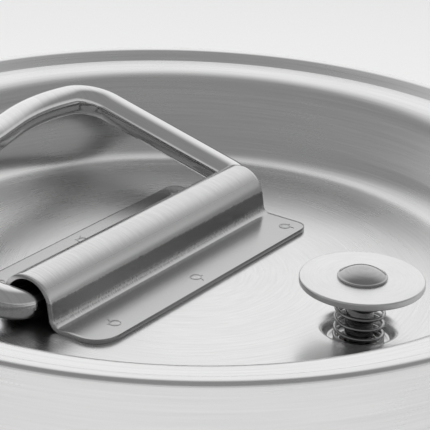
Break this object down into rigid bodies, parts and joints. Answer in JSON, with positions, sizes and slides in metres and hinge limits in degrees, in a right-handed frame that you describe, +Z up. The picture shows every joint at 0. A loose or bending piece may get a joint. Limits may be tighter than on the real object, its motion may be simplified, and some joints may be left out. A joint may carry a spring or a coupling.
{
  "type": "milk can",
  "caption": "Stainless transport can with a recessed lift-off lid, folding bail handle, sprung vent button and swinging side handles.",
  "frame": {"origin": "on the ground under the middle of the foot ring", "axes": "+Z up; X along the bail's hinge and through both side handles; +Y is the side the bail folds to, and the vent button stands at -Y"},
  "size_m": [0.397, 0.3624, 0.5474],
  "materials": {
    "can_steel": "satin brushed stainless steel, rolled and welded",
    "ring_steel": "satin stainless steel ring",
    "plate_steel": "satin stainless steel plate",
    "lid_steel": "drawn and brushed stainless steel",
    "bracket_steel": "folded stainless steel sheet, mill finish",
    "weld_steel": "ground weld metal",
    "button_steel": "punched stainless disc, satin",
    "spring_steel": "drawn stainless spring wire",
    "polished_rod": "polished round stainless rod",
    "rivet_steel": "polished rivet",
    "silicone": "moulded silicone rubber, matt"
  },
  "bodies": {
    "can": {"can_body": "can_steel", "can_shoulder": "can_steel", "belt_weld": "weld_steel", "mouth_ring": "ring_steel", "foot_ring": "ring_steel", "side_plate_right": "plate_steel", "side_plate_left": "plate_steel", "side_lugs_right": "plate_steel", "side_lugs_left": "plate_steel"},
    "side_handle_right": {"side_handle_right": "polished_rod"},
    "side_handle_left": {"side_handle_left": "polished_rod"},
    "lid": {"lid_pan": "lid_steel", "lid_gasket": "silicone", "handle_bracket": "bracket_steel", "bracket_welds": "weld_steel", "vent_spring": "spring_steel"},
    "bail": {"bail": "polished_rod", "bail_weld": "weld_steel"},
    "vent": {"vent_button": "button_steel", "vent_rivet": "rivet_steel", "vent_seal": "silicone", "vent_valve_plate": "button_steel", "vent_washer": "button_steel"}
  },
  "joints": [
    {"name": "lid_lift", "type": "slide", "parent": "can", "child": "lid", "axis": [0, 0, 1], "range_m": [0, 0.12]},
    {"name": "bail_hinge", "type": "hinge", "parent": "lid", "child": "bail", "pos_m": [-0.003, 0.0137, 0.5242], "axis": [1, 0, 0], "range_deg": [0, 152]},
    {"name": "vent_press", "type": "slide", "parent": "lid", "child": "vent", "axis": [0, 0, -1], "range_m": [0, 0.008], "stiffness_N_per_m": 900, "springref_m": -0.003, "deforming": ["vent_spring"]},
    {"name": "side_handle_right_swing", "type": "hinge", "parent": "can", "child": "side_handle_right", "pos_m": [0.1895, 0, 0.344], "axis": [0, -1, 0], "range_deg": [0, 193]},
    {"name": "side_handle_left_swing", "type": "hinge", "parent": "can", "child": "side_handle_left", "pos_m": [-0.1895, 0, 0.344], "axis": [0, 1, 0], "range_deg": [0, 193]}
  ]
}
